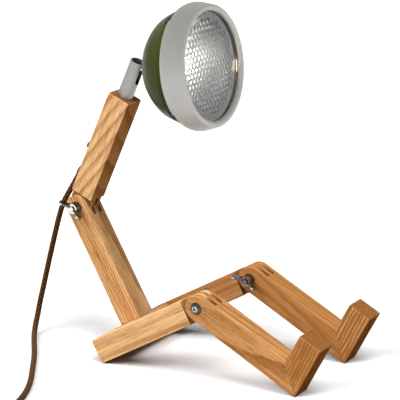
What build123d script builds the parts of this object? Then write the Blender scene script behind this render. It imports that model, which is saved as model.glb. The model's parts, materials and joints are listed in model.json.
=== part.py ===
"""Jointed wooden figure desk lamp: square ash bars, wing-nut hinges and a headlamp head.

Lengths are in millimetres and angles in degrees. X points the way the figure faces, Y to its left
and Z up. The origin lies on the table, under the middle of the lamp without its cord.
"""
from build123d import *
import math
import os

# ---- Wooden bars
bar = 22.0                  # side of the square section that every bar shares
edge_round = 0.8            # rounding along the edges of the bars
seat_width = 116.0          # over the outer sides of the two thighs
thigh_rear = 115.0          # knee hinge to the rear end of the thigh
post_setback = 2.0          # rear end of the thighs to the back of the crossbar and lower post
lower_post_rise = 112.0     # top of the crossbar to the torso hinge
upper_post_length = 113.0   # torso hinge to the top of the upper post
shin_length = 112.0         # knee hinge to the sole
foot_length = 50.0          # heel to toe

# ---- Finger hinges
shoulder = 12.5             # hinge axis to the shoulder, and to the bottom of the slots
slot_width = 4.1            # each of the two slots in a fork
finger_gap = 0.1            # play on each side of a tongue
turn_gap = 0.08             # radial play where one piece turns in another
fit_gap = 0.05              # radial play where one piece is glued or pushed into another

# ---- Pose at rest
knee_angle = 57.5           # thigh to shin
torso_angle = 53.0          # lower post to upper post, leaning forward
head_pitch = 6.4            # beam of the head above level

# ---- Bolts, washers and wing nuts
bolt_d = 5.0
bolt_head_d = 10.5
bolt_head_h = 3.0
hex_key = 3.0
key_depth = 1.6
washer_d = 10.0
washer_t = 1.0
bolt_stick_out = 1.5        # thread that shows past a wing nut
nut_base_d = 11.0
nut_top_d = 9.0
nut_h = 6.5
wing_reach = 13.0           # bolt axis to a wing's tip
wing_h = 12.5               # washer to the top of the wings
wing_tip_r = 3.1
wing_root_r = 2.4
wing_t = 2.4
torso_nut_turn = 32.0       # wings below level at rest
left_nut_turn = 22.0
right_nut_turn = -142.0

# ---- Dowels and screw
dowel_d = 6.0
dowel_length = 30.0
dowel_spacing = 11.0
mitre_dowel_d = 4.0
mitre_dowel_length = 20.0
screw_d = 4.5
screw_head_d = 9.0
screw_length = 60.0
recess_width = 1.0          # arms of the cross recess
recess_depth = 2.0

# ---- Neck and tilt joint
tube_d = 14.0
tube_wall = 1.0
tube_exposed = 35.0
tube_depth = 30.0           # seated in the upper post
tilt_height = 27.5          # top of the upper post to the tilt axis
slot_in_tube = 7.0          # width of the slot that faces the head
slot_below_tilt = 9.0       # tilt axis to the lower end of the slot
tilt_pin_d = 3.0
eye_d = 9.0
stem_d = 6.0
flange_d = 18.0
flange_t = 1.6
stud_d = 8.0
stud_length = 13.0          # inside the shell
stud_nut_d = 15.0
stud_nut_h = 4.0
flange_sink = 0.6           # flange's front past the bowl's back, shaped to the bowl
spacer_t = 1.4              # between the shell and the nut

# ---- Headlamp
glass_reach = 76.7          # tilt axis to the plane of the lens edge
shell_r = 49.3              # mouth of the bowl
shell_depth = 41.9          # where the bowl leaves the bezel to its back
bowl_power = 0.6            # fullness of the bowl, 0.5 is an ellipsoid
shell_wall = 1.0
shell_collar = 9.0          # straight part of the bowl inside the bezel
shell_lip = 1.6             # rolled lip at the mouth, standing out
bezel_depth = 20.0
bezel_out = 5.6             # widest part of the bezel, outside the mouth of the bowl
crease_out = 2.9            # front crease, outside the mouth
crease_ahead = 1.0          # front crease, ahead of the lens edge
rear_out = 3.2              # rear edge, outside the mouth
window_in = 2.5             # window, inside the mouth
bezel_side = ((0.4, 0.5), (0.67, 0.0), (0.89, 1.1))   # share of the depth, distance inside the widest
bezel_wall = 1.0
bezel_bead = 2.4            # bead that stands proud of the lens edge
window_lip = 0.6            # metal over the gasket
clip_angles = (-28.0, -136.0, 100.0)   # round the head from the top, towards its left
clip_width = 8.0
clip_wall = 1.0
clip_reach = 5.0            # behind the bezel's rear edge
clip_proud = 0.9            # outside the bezel's rear edge
clip_hook = 1.5
notch_width = 12.0
notch_depth = 2.6
gasket_t = 0.8
lens_t = 3.0
lens_crown = 2.0
crown_in = 0.6              # crown of the lens, inside the window
lens_out = 0.5              # seat of the lens in the bezel, outside the mouth
lens_play = 0.1
reflector_wall = 0.8
reflector_base_r = 13.0
reflector_depth = 32.0
reflector_lip = 0.8
reflector_lip_width = 3.0
heat_sink_r = 17.0
heat_sink_length = 14.0
heat_sink_base = 3.0
fin_count = 12
fin_slot = 2.4
fin_depth = 5.0
board_r = 12.4
board_t = 1.6
emitter_r = 6.0

# ---- Switch and strain relief in the upper post
switch_height = 54.0        # torso hinge to the push button
switch_d = 8.0
switch_depth = 5.5
switch_floor = 1.4          # behind the button's bore
switch_room = 3.5           # pocket behind the switch, for its terminals
terminal_length = 2.4
terminal_width = 1.2
terminal_t = 0.6
terminal_offset = 2.7       # from the middle of the switch
collar_d = 11.5
collar_t = 1.2
button_d = 6.0
button_out = 5.6            # proud of the wood when it is out
button_travel = 1.5
exit_height = 35.0          # torso hinge to the middle of the cord's hole
exit_slope = 28.0           # cord's hole to the back of the post
relief_inside = 12.0
relief_straight = 2.0       # outside the hole, before the sleeve bends down the post
relief_bend_r = 24.0
relief_bend = 21.7          # degrees
relief_d = 7.4
relief_end_d = 5.8
duct_d = 5.2                # hole from the strain relief to the wire bore
wire_bore_d = 7.0
wire_bore_offset = 3.4      # in front of the post's axis
wire_bore_floor = 50.0      # above the torso hinge
lead_d = 3.2
lead_straight = 1.0         # past the strain relief, in line with it
lead_offset = 4.0           # in front of the post's axis
lead_past_switch = 3.0
lead_in_tube = 16.0         # above the tube's lower end, where the lead reaches its middle
lead_end_gap = 2.0          # under the bracket's eye
lead_bends = [2 * lead_d, 3 * lead_d, 3 * lead_d, 3 * lead_d]

# ---- Cord, coil and plug
cord_d = 5.0
coil_mid_d = 59.0
coil_turns_across = 4
coil_layers = 2
coil_centre = (-40.0, -245.0)
plug_length = 35.0
plug_width = 25.0
plug_height = 13.6
plug_neck = 14.0
plug_neck_sink = 4.0        # neck inside the body
plug_round = 3.0
plug_pin_d = 4.0
plug_pin_length = 19.0
plug_pin_spacing = 18.6
tail_leaves = 262.0         # round the coil, where the cord leaves it for the plug
tail_length = 24.0          # from there to the neck of the plug
cord_straight = 6.0         # straight out of the strain relief
# Hand-laid route from there to the coil, on the finished lamp's own axes.
cord_route = [
    (-138.6, -0.1, 137.9),
    (-146.3, -0.3, 126.1),
    (-150.5, -0.4, 117.0),
    (-156.2, -0.8, 98.5),
    (-166.4, -1.7, 62.0),
    (-172.0, -2.9, 39.5),
    (-174.6, -4.6, 27.5),
    (-175.6, -7.0, 17.3),
    (-175.0, -12.6, 8.0),
    (-170.8, -21.2, 2.5),
    (-159.2, -38.6, 2.5),
    (-136.8, -70.5, 2.5),
    (-115.6, -105.0, 2.5),
    (-101.3, -128.5, 2.5),
    (-88.5, -154.0, 2.5),
    (-79.5, -181.5, 2.5),
    (-76.4, -211.0, 2.5),
    (-76.6, -236.0, 2.5),
]

# ---- Worked out from the sizes above
half = bar / 2
thigh_y = (seat_width - bar) / 2            # middle of each leg
post_x = -thigh_rear + post_setback + half  # axis of the lower post, in the seat's frame
tongue_width = slot_width - 2 * finger_gap
eye_width = slot_in_tube - 2 * finger_gap
bezel_r = shell_r + bezel_out
bezel_crease_r = shell_r + crease_out
bezel_rear_r = shell_r + rear_out
bezel_window_r = shell_r - window_in
lens_seat_r = shell_r + lens_out
lens_r = lens_seat_r - lens_play
lens_crown_r = bezel_window_r - crown_in
finger_width = (bar - 2 * slot_width) / 3
slot_y = (finger_width + slot_width) / 2    # middle of a slot from the middle of the bar
bolt_bore_r = bolt_d / 2 + turn_gap
upward = (Align.CENTER, Align.CENTER, Align.MIN)
tube_bore_r = tube_d / 2 + turn_gap
tube_floor = upper_post_length - tube_depth
# The lamp rests on the rounded rear edges of the thighs and on its heels.
heel_x = (math.cos(math.radians(knee_angle)) * (shin_length - edge_round)
          - math.sin(math.radians(knee_angle)) * (half - edge_round))
heel_z = (-math.sin(math.radians(knee_angle)) * (shin_length - edge_round)
          - math.cos(math.radians(knee_angle)) * (half - edge_round))
rear_x = -thigh_rear + edge_round
rear_z = -half + edge_round
seat_pitch = math.degrees(math.atan2(rear_z - heel_z, heel_x - rear_x))
rest_z = (math.sin(math.radians(seat_pitch)) * rear_x
          + math.cos(math.radians(seat_pitch)) * rear_z - edge_round)

# ---- Frames: X runs along the thighs in the seat's, Z up the post in the torso's
seat_frame = Pos(0, 0, -rest_z) * Rot(0, -seat_pitch, 0)
torso_frame = seat_frame * Pos(post_x, 0, half + lower_post_rise) * Rot(0, torso_angle, 0)
neck_frame = torso_frame * Pos(0, 0, upper_post_length)
tilt_at = (neck_frame * Pos(0, 0, tilt_height)).position
head_frame = Pos(tilt_at) * Rot(0, -head_pitch, 0)


def leg_frame(side):
    """The leg's frame, X down the shin from the knee hinge. side is 1 for left, -1 for right."""
    return seat_frame * Pos(0, side * thigh_y, 0) * Rot(0, knee_angle, 0)


def cylinder_y(radius, low, high):
    """A round rod along Y from low to high."""
    return Pos(0, (low + high) / 2, 0) * Rot(90, 0, 0) * Cylinder(radius, high - low)


def cylinder_x(radius, low, high):
    """A round rod along X from low to high."""
    return Pos((low + high) / 2, 0, 0) * Rot(0, 90, 0) * Cylinder(radius, high - low)


# ---- Wooden bars with finger ends. The hinge axis is Y through the origin, the bar runs along +X.
def plate(outline, low, high):
    """An outline in XZ as thick as from low to high in Y."""
    return Pos(0, (low + high) / 2, 0) * extrude(Plane.XZ * outline, (high - low) / 2, both=True)


def fork_bar(length, end_round=0.0):
    """A bar whose rounded end has three fingers and two slots, its far end sharp or rounded."""
    outline = Pos(length / 2, 0) * Rectangle(length, bar) + Circle(half)
    if end_round:
        outline = fillet(outline.vertices().sort_by(Axis.X)[-2:], end_round)
    body = plate(outline, -half, half)
    sides = body.faces().filter_by(Axis.Y)
    body = fillet(sides.edges(), edge_round)
    slot = Box(shoulder + bar, slot_width, 2 * bar, align=(Align.MAX, Align.CENTER, Align.CENTER))
    for side in (-1, 1):
        body -= Pos(shoulder, side * slot_y, 0) * slot
    return body - cylinder_y(bolt_bore_r, -bar, bar)


def tongue_bar(length):
    """A bar whose shouldered end has two rounded tongues."""
    block = Box(length - shoulder, bar, bar, align=(Align.MIN, Align.CENTER, Align.CENTER))
    body = Pos(shoulder, 0, 0) * fillet(block.edges(), edge_round)
    outline = Pos(shoulder, 0) * Rectangle(2 * shoulder, bar) + Circle(half)
    for side in (-1, 1):
        mid = side * slot_y
        body += plate(outline, mid - tongue_width / 2, mid + tongue_width / 2)
    return body - cylinder_y(bolt_bore_r, -bar, bar)


def dowel_hole(diameter, length):
    """The hole for a dowel along Z, a little wider and longer than the dowel."""
    return Cylinder(diameter / 2 + fit_gap, length + 2 * fit_gap)


def seat_dowel_places():
    """Where the crossbar's dowels lie, as frames with Z along the dowel."""
    for side in (-1, 1):
        for step in (-1, 1):
            x = post_x + step * dowel_spacing / 2
            yield Pos(x, side * (seat_width / 2 - bar), 0) * Rot(90, 0, 0)


def thigh(side):
    """A thigh bar: tongues at the knee, dowel holes for the crossbar at the rear."""
    body = Pos(0, side * thigh_y, 0) * Rot(0, 0, 180) * tongue_bar(thigh_rear)
    for place in seat_dowel_places():
        body -= place * dowel_hole(dowel_d, dowel_length)
    return body


def crossbar():
    """The bar between the thighs that carries the lower post."""
    block = Box(bar, seat_width - 2 * bar, bar)
    body = Pos(post_x, 0, 0) * fillet(block.edges().filter_by(Axis.Y), edge_round)
    for place in seat_dowel_places():
        body -= place * dowel_hole(dowel_d, dowel_length)
    return body - post_screw_space()


def screw_shape(extra):
    """The countersunk screw that holds the lower post, from below, with extra room all round."""
    head_h = (screw_head_d - screw_d) / 2
    head = Pos(0, 0, head_h / 2) * Cone(screw_head_d / 2 + extra, screw_d / 2 + extra, head_h)
    shank = Cylinder(screw_d / 2 + extra, screw_length + extra, align=upward)
    return Pos(post_x, 0, -half) * (head + shank)


def post_screw_space():
    return screw_shape(fit_gap)


def post_screw():
    """The screw itself, with its cross recess."""
    arm = Box(screw_head_d / 2, recess_width, 2 * recess_depth)
    recess = arm + Rot(0, 0, 90) * arm
    return screw_shape(0) - Pos(post_x, 0, -half) * recess


def lower_post():
    """The fixed lower half of the torso, forked at its top."""
    body = Pos(post_x, 0, half + lower_post_rise) * Rot(0, 90, 0) * fork_bar(lower_post_rise)
    return body - post_screw_space()


def seat_dowels():
    return [place * Cylinder(dowel_d / 2, dowel_length) for place in seat_dowel_places()]


# ---- Legs, in the leg's frame
def mitre_dowel_places():
    """Two dowels square across the mitre between the shin and the foot."""
    for side in (-1, 1):
        yield Pos(shin_length - half, side * dowel_spacing / 2, 0) * Rot(0, 45, 0)


def mitre_cut():
    """A big block whose face is the mitre plane, on the foot's side of it."""
    block = Box(4 * bar, 2 * bar, 4 * bar, align=(Align.CENTER, Align.CENTER, Align.MIN))
    return Pos(shin_length - half, 0, 0) * Rot(0, 45, 0) * block


def shin():
    body = fork_bar(shin_length, edge_round) - mitre_cut()
    for place in mitre_dowel_places():
        body -= place * dowel_hole(mitre_dowel_d, mitre_dowel_length)
    return body


def foot():
    block = Box(bar, bar, foot_length, align=(Align.MAX, Align.CENTER, Align.MIN))
    body = Pos(shin_length, 0, -half) * fillet(block.edges(), edge_round)
    body = body & mitre_cut()
    for place in mitre_dowel_places():
        body -= place * dowel_hole(mitre_dowel_d, mitre_dowel_length)
    return body


def mitre_dowels():
    dowel = Cylinder(mitre_dowel_d / 2, mitre_dowel_length)
    return [place * dowel for place in mitre_dowel_places()]


# ---- Bolts and nuts. Each lies along Y with its head on the bar's +Y side.
def bolt():
    """A button-head bolt through a fork, long enough for the washer and the wing nut."""
    dome_r = (bolt_head_h ** 2 + (bolt_head_d / 2) ** 2) / (2 * bolt_head_h)
    ball = Pos(0, half + bolt_head_h - dome_r, 0) * Sphere(dome_r)
    head = ball & cylinder_y(bolt_head_d / 2, half, half + bolt_head_h)
    end = -half - washer_t - nut_h - bolt_stick_out
    shank = cylinder_y(bolt_d / 2, end, half)
    shank = chamfer(shank.edges().group_by(Axis.Y)[0], bolt_d / 10)
    key = extrude(Plane.XZ * RegularPolygon(hex_key / 2, 6, major_radius=False), bar, both=True)
    head -= Pos(0, half + bolt_head_h - key_depth + bar, 0) * key
    return head + shank


def washer():
    ring = cylinder_y(washer_d / 2, -half - washer_t, -half)
    return ring - cylinder_y(bolt_d / 2 + fit_gap, -bar, bar)


def wing_nut():
    """A wing nut on the washer, its wings along X."""
    base = Cone(nut_base_d / 2, nut_top_d / 2, nut_h, align=upward)
    tip_x = wing_reach - wing_tip_r
    tip = Pos(tip_x, wing_h - wing_tip_r) * Circle(wing_tip_r)
    root = Pos(nut_top_d / 2 - wing_root_r / 2, nut_h - wing_root_r) * Circle(wing_root_r)
    ear = extrude(Plane.XZ * make_hull(tip.edges() + root.edges()), wing_t / 2, both=True)
    ear = fillet(ear.edges(), wing_t / 4)
    body = base + ear + Rot(0, 0, 180) * ear
    body -= Cylinder(bolt_d / 2 + turn_gap, 4 * nut_h)
    return Pos(0, -half - washer_t, 0) * Rot(90, 0, 0) * body


# ---- Upper post, in the torso's frame
def relief_axis():
    """The frame at the middle of the cord's hole, Z leaving the post down the cord."""
    return Pos(-half, 0, exit_height) * Rot(0, 180 + exit_slope, 0)


def relief_line():
    """The middle of the sleeve outside its hole: straight out, then bent down along the post."""
    out = Line((0, 0, 0), (0, 0, relief_straight))
    centre = Plane((-relief_bend_r, 0, relief_straight), x_dir=(1, 0, 0), z_dir=(0, -1, 0))
    return out + centre * CenterArc((0, 0), relief_bend_r, 0, relief_bend)


def relief_end():
    """The frame at the end of the sleeve, Z leaving it down the cord."""
    bend = Pos(-relief_bend_r, 0, relief_straight) * Rot(0, -relief_bend, 0) * Pos(relief_bend_r, 0, 0)
    return relief_axis() * bend


def strain_relief():
    """A tapered rubber sleeve, part of it in the slanting hole."""
    wide = Plane.XY * Circle(relief_d / 2)
    narrow = Plane(relief_axis().inverse() * relief_end()) * Circle(relief_end_d / 2)
    body = sweep([wide, narrow], path=relief_line(), multisection=True)
    body += Cylinder(relief_d / 2, relief_inside, align=(Align.CENTER, Align.CENTER, Align.MAX))
    return relief_axis() * body


def upper_post():
    """The upper half of the torso: tongues below, neck bore above, switch and cord at the back."""
    body = Rot(0, -90, 0) * tongue_bar(upper_post_length)
    body -= Pos(0, 0, tube_floor + tube_depth / 2) * Cylinder(tube_bore_r, tube_depth)
    wire = Cylinder(wire_bore_d / 2, tube_floor - wire_bore_floor, align=upward)
    body -= Pos(wire_bore_offset, 0, wire_bore_floor) * wire
    hole = Cylinder(relief_d / 2 + fit_gap, relief_inside + bar, align=upward)
    body -= relief_axis() * Pos(0, 0, -relief_inside) * hole
    body -= tube_along(lead_path()[:3], lead_bends[:1], duct_d)
    pocket = cylinder_x(switch_d / 2 + fit_gap, -bar, -half + switch_depth + switch_room)
    return body - Pos(0, 0, switch_height) * pocket


def switch_body():
    """The push switch: a barrel in the post, hollow for its button, and a collar on the wood."""
    barrel = cylinder_x(switch_d / 2, -half, -half + switch_depth)
    terminal = Box(2 * terminal_length, terminal_width, terminal_t)
    for side in (-1, 1):
        barrel += Pos(-half + switch_depth, side * terminal_offset, 0) * terminal
    bore = cylinder_x(button_d / 2 + turn_gap, -bar, -half + switch_depth - switch_floor)
    return Pos(0, 0, switch_height) * (barrel - bore)


def switch_collar():
    ring = cylinder_x(collar_d / 2, -half - collar_t, -half)
    ring -= cylinder_x(button_d / 2 + turn_gap, -bar, bar)
    return Pos(0, 0, switch_height) * ring


def switch_button():
    """The button, domed, with room behind it to travel."""
    inner = -half + switch_depth - switch_floor - button_travel - turn_gap
    rod = cylinder_x(button_d / 2, -half - button_out, inner)
    rod = fillet(rod.edges().group_by(Axis.X)[0], button_d / 8)
    return Pos(0, 0, switch_height) * rod


def lead_path():
    """Corners of the lead from the strain relief, past the switch and up the neck."""
    start = relief_axis() * Pos(0, 0, -relief_inside)
    past_hole = relief_axis() * Pos(0, 0, -relief_inside - lead_straight)
    top = upper_post_length + tilt_height - eye_d / 2 - lead_end_gap
    return [start.position, past_hole.position,
            Vector(lead_offset, 0, switch_height + lead_past_switch),
            Vector(lead_offset, 0, tube_floor),
            Vector(0, 0, tube_floor + lead_in_tube), Vector(0, 0, top)]


def inner_lead():
    return tube_along(lead_path(), lead_bends, lead_d)


def tube_along(points, radii, diameter):
    """A round solid along straight runs joined by tangent arcs."""
    line = FilletPolyline(*points, radius=radii)
    start = line @ 0
    along = line % 0
    profile = Plane(origin=start, z_dir=along) * Circle(diameter / 2)
    return sweep(profile, path=line)


# ---- Neck, in the neck's frame, Z up the tube from the top of the post
def neck_tube():
    length = tube_depth + tube_exposed
    body = Pos(0, 0, tube_exposed - length / 2) * Cylinder(tube_d / 2, length)
    body -= Cylinder(tube_d / 2 - tube_wall, 4 * length)
    slot_h = tube_exposed - tilt_height + slot_below_tilt
    slot = Box(tube_d, slot_in_tube, slot_h, align=(Align.MIN, Align.CENTER, Align.MAX))
    body -= Pos(0, 0, tube_exposed) * slot
    foot_round = Rot(0, 90, 0) * Cylinder(slot_in_tube / 2, tube_d, align=upward)
    body -= Pos(0, 0, tilt_height - slot_below_tilt) * foot_round
    return body - Pos(0, 0, tilt_height) * cylinder_y(tilt_pin_d / 2 + fit_gap, -tube_d, tube_d)


def tilt_pin():
    pin = cylinder_y(tilt_pin_d / 2, -tube_d / 2 + fit_gap, tube_d / 2 - fit_gap)
    return Pos(0, 0, tilt_height) * pin


# ---- Head, in the head's frame: X along the beam from the tilt axis
bowl_back = glass_reach - bezel_depth - shell_depth


def bowl_radius(depth, radius):
    """Radius of the bowl at a share of its depth, 0 at the bezel and 1 at the back."""
    return radius * (1 - depth ** 2) ** bowl_power


def bowl_outline(inset):
    """The bowl's side as a spline from the back to the bezel, inset by the wall."""
    shares = (0.985, 0.95, 0.88, 0.76, 0.6, 0.4, 0.2)
    depth = shell_depth - inset
    mouth = bowl_back + shell_depth
    points = [(mouth - depth, 0)]
    points += [(mouth - depth * k, bowl_radius(k, shell_r - inset)) for k in shares]
    points += [(mouth, shell_r - inset)]
    return Spline(*points, tangents=[(0, 1), (1, 0)])


def bowl_space(inset, collar):
    """The bowl as a solid out to its outline, with a straight collar in front."""
    curve = bowl_outline(inset)
    mouth = bowl_back + shell_depth
    back = curve @ 0
    radius = shell_r - inset
    edge = Polyline((mouth, radius), (mouth + collar, radius), (mouth + collar, 0), (back.X, 0))
    return revolve(Plane.XZ * make_face([curve, edge]), Axis.X)


def shell():
    """The enamelled bowl with its collar, rolled lip and the hole for the stud."""
    body = bowl_space(0, shell_collar) - bowl_space(shell_wall, shell_collar + 1)
    front = bowl_back + shell_depth + shell_collar
    lip = cylinder_x(shell_r + shell_lip, front - shell_wall, front)
    lip -= cylinder_x(shell_r - shell_wall, front - bar, front + bar)
    body += lip
    return body - cylinder_x(stud_d / 2 + fit_gap, bowl_back - flange_d, bowl_back + stud_length)


def tilt_bracket():
    """An eye on the pin, a stem through the tube's slot, a flange and a stud into the shell."""
    seat = bowl_back + flange_sink
    eye = cylinder_y(eye_d / 2, -eye_width / 2, eye_width / 2)
    stem = cylinder_x(stem_d / 2, 0, seat)
    flange = cylinder_x(flange_d / 2, seat - flange_t, seat)
    stud = cylinder_x(stud_d / 2, seat - flange_t, bowl_back + stud_length)
    body = eye + stem + flange + stud
    body -= bowl_space(-fit_gap, shell_collar) - cylinder_x(stud_d / 2, -bar, 4 * bar)
    return body - cylinder_y(tilt_pin_d / 2 + turn_gap, -tube_d, tube_d)


def stud_nut():
    """The flat hexagon nut that clamps the shell to the bracket."""
    face = bowl_back + shell_wall + spacer_t
    hexagon = RegularPolygon(stud_nut_d / 2, 6)
    body = Pos(face, 0, 0) * extrude(Plane.YZ * hexagon, stud_nut_h)
    spacer = cylinder_x(stud_nut_d / 2, bowl_back, face)
    body += spacer & bowl_space(shell_wall + fit_gap, shell_collar)
    return body - cylinder_x(stud_d / 2 + fit_gap, -bar, 4 * bar)


def bezel_curve(wall):
    """The bezel's side from the front crease to its rear edge, moved in by the wall."""
    points = [(glass_reach + crease_ahead - wall, bezel_crease_r - wall / 2)]
    points += [(glass_reach - bezel_depth * share, bezel_r - inset - wall)
               for share, inset in bezel_side]
    points += [(glass_reach - bezel_depth, bezel_rear_r - wall)]
    return Spline(*points)


def bezel():
    """The ring round the lens: beaded window, flared side and a rear edge notched for the clips."""
    outer = bezel_curve(0)
    inner = bezel_curve(bezel_wall)
    seat = glass_reach - gasket_t
    lip_front = (seat + window_lip, bezel_window_r)
    bead_top = (glass_reach + bezel_bead, (bezel_window_r + bezel_crease_r) / 2)
    bead = ThreePointArc(lip_front, bead_top, outer @ 0)
    rear = Line(outer @ 1, inner @ 1)
    front = Polyline(inner @ 0, (seat, lens_seat_r), (seat, bezel_window_r), lip_front)
    body = revolve(Plane.XZ * make_face([bead, outer, rear, inner, front]), Axis.X)
    notch = Box(notch_depth, notch_width, 10 * bezel_wall)
    for angle in clip_angles:
        place = Rot(-angle, 0, 0) * Pos(glass_reach - bezel_depth + notch_depth / 2, 0, bezel_rear_r)
        body -= place * notch
    return body


def clips():
    """Spring clips on the bowl that hook the bezel in its notches."""
    rear = glass_reach - bezel_depth
    front = rear + notch_depth
    top = bezel_rear_r + clip_proud
    outline = [(rear - clip_reach, shell_r), (rear - clip_reach, shell_r + clip_wall),
               (rear - clip_wall, shell_r + clip_wall), (front - clip_wall, top), (front, top),
               (front, top - clip_hook), (rear + clip_wall, shell_r)]
    blade = extrude(Plane.XZ * make_face(Polyline(*outline, close=True)), clip_width / 2, both=True)
    blade -= bowl_space(-fit_gap, shell_collar)
    return [Rot(-angle, 0, 0) * blade for angle in clip_angles]


lens_front = glass_reach - 2 * gasket_t
lens_back = lens_front - lens_t


def gasket():
    """The rubber ring between the bezel's window and the lens."""
    ring = cylinder_x(lens_r, lens_front, lens_front + gasket_t)
    return ring - cylinder_x(bezel_window_r, -bar, 2 * glass_reach)


def lens():
    """The pressed glass, a flat rim and a crowned middle."""
    dome_r = (lens_crown ** 2 + lens_crown_r ** 2) / (2 * lens_crown)
    ball = Pos(lens_front + lens_crown - dome_r, 0, 0) * Sphere(dome_r)
    crown = cylinder_x(lens_crown_r, lens_back, lens_front + lens_crown) & ball
    return cylinder_x(lens_r, lens_back, lens_front) + crown


def reflector_curve(wall):
    """Half a parabola from the base hole to the rim, moved out by the wall."""
    rim_r = lens_r - reflector_lip_width
    steps = 6
    points = []
    for i in range(steps + 1):
        r = reflector_base_r + (rim_r - reflector_base_r) * i / steps
        share = (r ** 2 - reflector_base_r ** 2) / (rim_r ** 2 - reflector_base_r ** 2)
        points.append((lens_back - reflector_lip - reflector_depth * (1 - share), r + wall))
    return Spline(*points)


def reflector():
    """The bright bowl behind the lens, its lip held between the lens and the bezel."""
    inner = reflector_curve(0)
    outer = reflector_curve(reflector_wall)
    base = Line(inner @ 0, outer @ 0)
    rim_r = (inner @ 1).Y
    lip = Polyline(outer @ 1, (lens_back - reflector_lip, lens_r), (lens_back, lens_r),
                   (lens_back, rim_r), inner @ 1)
    return revolve(Plane.XZ * make_face([inner, base, outer, lip]), Axis.X)


board_back = lens_back - reflector_lip - reflector_depth


def heat_sink():
    """A finned plug on the stud that carries the lamp board and the reflector."""
    low = board_back - heat_sink_length
    body = cylinder_x(heat_sink_r, low, board_back)
    far_end = (Align.MAX, Align.CENTER, Align.CENTER)
    cut = Box(heat_sink_length, fin_slot, 2 * fin_depth, align=far_end)
    cut = Pos(board_back - heat_sink_base, 0, heat_sink_r) * cut
    for i in range(fin_count):
        body -= Rot(i * 360 / fin_count, 0, 0) * cut
    return body - cylinder_x(stud_d / 2 + fit_gap, -bar, bowl_back + stud_length + fit_gap)


def led_board():
    return cylinder_x(board_r, board_back, board_back + board_t)


def emitter():
    """The domed light source on the board."""
    at = board_back + board_t
    ball = Pos(at, 0, 0) * Sphere(emitter_r)
    return ball & cylinder_x(2 * emitter_r, at, at + bar)


# ---- Cord, coil and plug, on the finished lamp's axes
def cord_points(shift):
    """The route from the end of the strain relief, straight out of it and on to the coil."""
    leaving = shift * torso_frame * relief_end()
    straight = [leaving * Pos(0, 0, ahead) for ahead in (0, cord_straight)]
    return [place.position for place in straight] + [Vector(*p) for p in cord_route]


def corner_radii(points):
    """For each corner, 0.45 of its shorter run over the tangent of half its turn."""
    radii = []
    for before, here, after in zip(points, points[1:], points[2:]):
        run_in = here - before
        run_out = after - here
        turn = math.radians(run_in.get_angle(run_out))
        radii.append(0.45 * min(run_in.length, run_out.length) / math.tan(turn / 2))
    return radii


def cord(shift):
    """The free stretch of cord, as far as the coil."""
    points = cord_points(shift)
    radii = corner_radii(points)
    print("cord radii", [round(r, 1) for r in radii])
    body = tube_along(points, radii, cord_d)
    print("cord length", round(FilletPolyline(*points, radius=radii).length, 1))
    return body - coil()


def coil():
    """The outer shape of the wound part of the cord."""
    across = coil_turns_across * cord_d
    height = coil_layers * cord_d
    ring = Cylinder((coil_mid_d + across) / 2, height)
    ring -= Cylinder((coil_mid_d - across) / 2, 2 * height)
    ring = fillet(ring.edges(), cord_d / 2 - 0.1)
    return Pos(*coil_centre, height / 2) * ring


def tail_frame():
    """X down the cord's tail where it leaves the outer turn, at the height of the plug's middle."""
    outer_turn = (coil_mid_d + (coil_turns_across - 1) * cord_d) / 2
    ahead = Rot(0, 0, tail_leaves) * Pos(outer_turn, 0, 0) * Rot(0, 0, 90)
    return Pos(*coil_centre, plug_height / 2) * ahead


def cord_tail():
    """The straight end of the cord between the coil and the plug."""
    return tail_frame() * cylinder_x(cord_d / 2, cord_d, tail_length) - coil()


def plug_frame():
    """X along the plug from the back of its body, on the table."""
    return tail_frame() * Pos(tail_length + plug_neck, 0, -plug_height / 2)


def plug_body():
    """A flat two-pin plug, pins along X, lying on its broad side."""
    low = (Align.MIN, Align.CENTER, Align.MIN)
    body = Box(plug_length, plug_width, plug_height, align=low)
    body = fillet(body.edges(), plug_round)
    neck = Cone(cord_d * 0.6, cord_d, plug_neck + plug_neck_sink, align=upward)
    body += Pos(-plug_neck, 0, plug_height / 2) * Rot(0, 90, 0) * neck
    return plug_frame() * body


def plug_pins():
    """The two round pins, from the face of the plug."""
    pins = []
    for side in (-1, 1):
        pin = cylinder_x(plug_pin_d / 2, plug_length, plug_length + plug_pin_length)
        pin = fillet(pin.edges().group_by(Axis.X)[-1], plug_pin_d / 4)
        pins.append(plug_frame() * Pos(0, side * plug_pin_spacing / 2, plug_height / 2) * pin)
    return pins


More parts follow.
